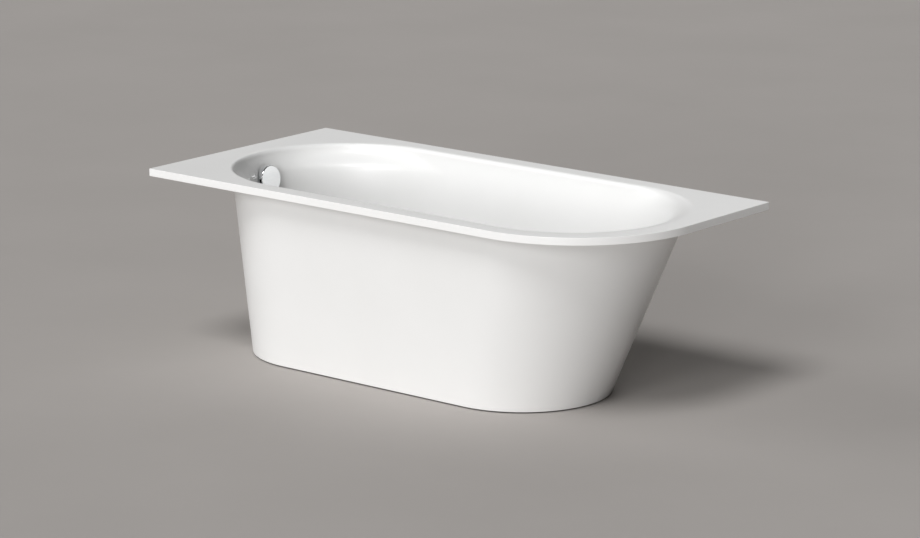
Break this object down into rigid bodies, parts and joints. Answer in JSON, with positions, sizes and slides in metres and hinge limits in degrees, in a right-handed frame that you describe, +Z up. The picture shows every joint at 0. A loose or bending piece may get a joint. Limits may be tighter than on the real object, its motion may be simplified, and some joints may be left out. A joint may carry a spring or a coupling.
{
  "type": "built-in bathtub",
  "caption": "White oval basin in a flat rim with one round corner and a tapered apron, on levelling legs, with a pop-up waste worked by the overflow knob.",
  "frame": {"origin": "on the floor under the middle of the rim", "axes": "+X along the tub towards its sloping end, +Y towards the back wall, +Z up"},
  "size_m": [1.7, 0.8, 0.575],
  "materials": {
    "acrylic": "smooth gloss",
    "board": "raw chipboard",
    "batten": "planed softwood",
    "zinc_steel": "galvanised",
    "fastener": "bright zinc",
    "foot": "moulded",
    "chrome": "polished",
    "brass": "turned",
    "pipe_plastic": "moulded polypropylene",
    "nut_plastic": "moulded polypropylene",
    "rubber": "matt",
    "cable": "smooth sheath"
  },
  "bodies": {
    "tub": {"apron": "acrylic", "apron_tie_end": "zinc_steel", "apron_tie_left": "zinc_steel", "apron_tie_right": "zinc_steel", "back_batten": "batten", "back_wall_bracket_left": "zinc_steel", "back_wall_bracket_right": "zinc_steel", "base_board": "board", "bracket_screws": "fastener", "cable_clips": "nut_plastic", "clamp_screw": "fastener", "control_cable": "cable", "left_batten": "batten", "left_leg_rail": "zinc_steel", "left_wall_bracket": "zinc_steel", "lever_pin": "fastener", "lock_nuts": "fastener", "outlet_nut": "nut_plastic", "outlet_pipe": "pipe_plastic", "overflow_body": "pipe_plastic", "overflow_gasket": "rubber", "overflow_pipe": "pipe_plastic", "overflow_plate": "chrome", "pipe_nuts": "nut_plastic", "rail_screws": "fastener", "right_leg_rail": "zinc_steel", "trap_body": "pipe_plastic", "trap_nut": "nut_plastic", "tub_shell": "acrylic", "waste_body": "pipe_plastic", "waste_flange": "chrome", "waste_gasket": "rubber"},
    "knob": {"overflow_knob": "chrome", "knob_spindle": "brass"},
    "plug": {"plug_cap": "chrome", "plug_stem": "brass", "plug_seal": "rubber"},
    "lever": {"lift_lever": "nut_plastic"},
    "leg_left_front": {"leg_stem_left_front": "fastener", "foot_pad_left_front": "foot"},
    "leg_left_rear": {"leg_stem_left_rear": "fastener", "foot_pad_left_rear": "foot"},
    "leg_right_front": {"leg_stem_right_front": "fastener", "foot_pad_right_front": "foot"},
    "leg_right_rear": {"leg_stem_right_rear": "fastener", "foot_pad_right_rear": "foot"}
  },
  "joints": [
    {"name": "knob_turn", "type": "hinge", "parent": "tub", "child": "knob", "pos_m": [-0.741, 0, 0.491], "axis": [0.9903, 0, 0.1392], "range_deg": [0, 90]},
    {"name": "plug_lift", "type": "slide", "parent": "tub", "child": "plug", "axis": [0, 0, 1], "range_m": [0, 0.01]},
    {"name": "lever_lift", "type": "hinge", "parent": "tub", "child": "lever", "pos_m": [-0.522, 0, 0.089], "axis": [0, -1, 0], "range_deg": [0, 27.04]},
    {"name": "leg_left_front_adjust", "type": "slide", "parent": "tub", "child": "leg_left_front", "axis": [0, 0, -1], "range_m": [-0.003, 0.02]},
    {"name": "leg_left_rear_adjust", "type": "slide", "parent": "tub", "child": "leg_left_rear", "axis": [0, 0, -1], "range_m": [-0.003, 0.02]},
    {"name": "leg_right_front_adjust", "type": "slide", "parent": "tub", "child": "leg_right_front", "axis": [0, 0, -1], "range_m": [-0.003, 0.02]},
    {"name": "leg_right_rear_adjust", "type": "slide", "parent": "tub", "child": "leg_right_rear", "axis": [0, 0, -1], "range_m": [-0.003, 0.02]}
  ],
  "couplings": [
    {"joint": "plug_lift", "follows": "knob_turn", "m_per_rad": 0.0063662},
    {"joint": "lever_lift", "follows": "knob_turn", "ratio": 0.3004}
  ]
}
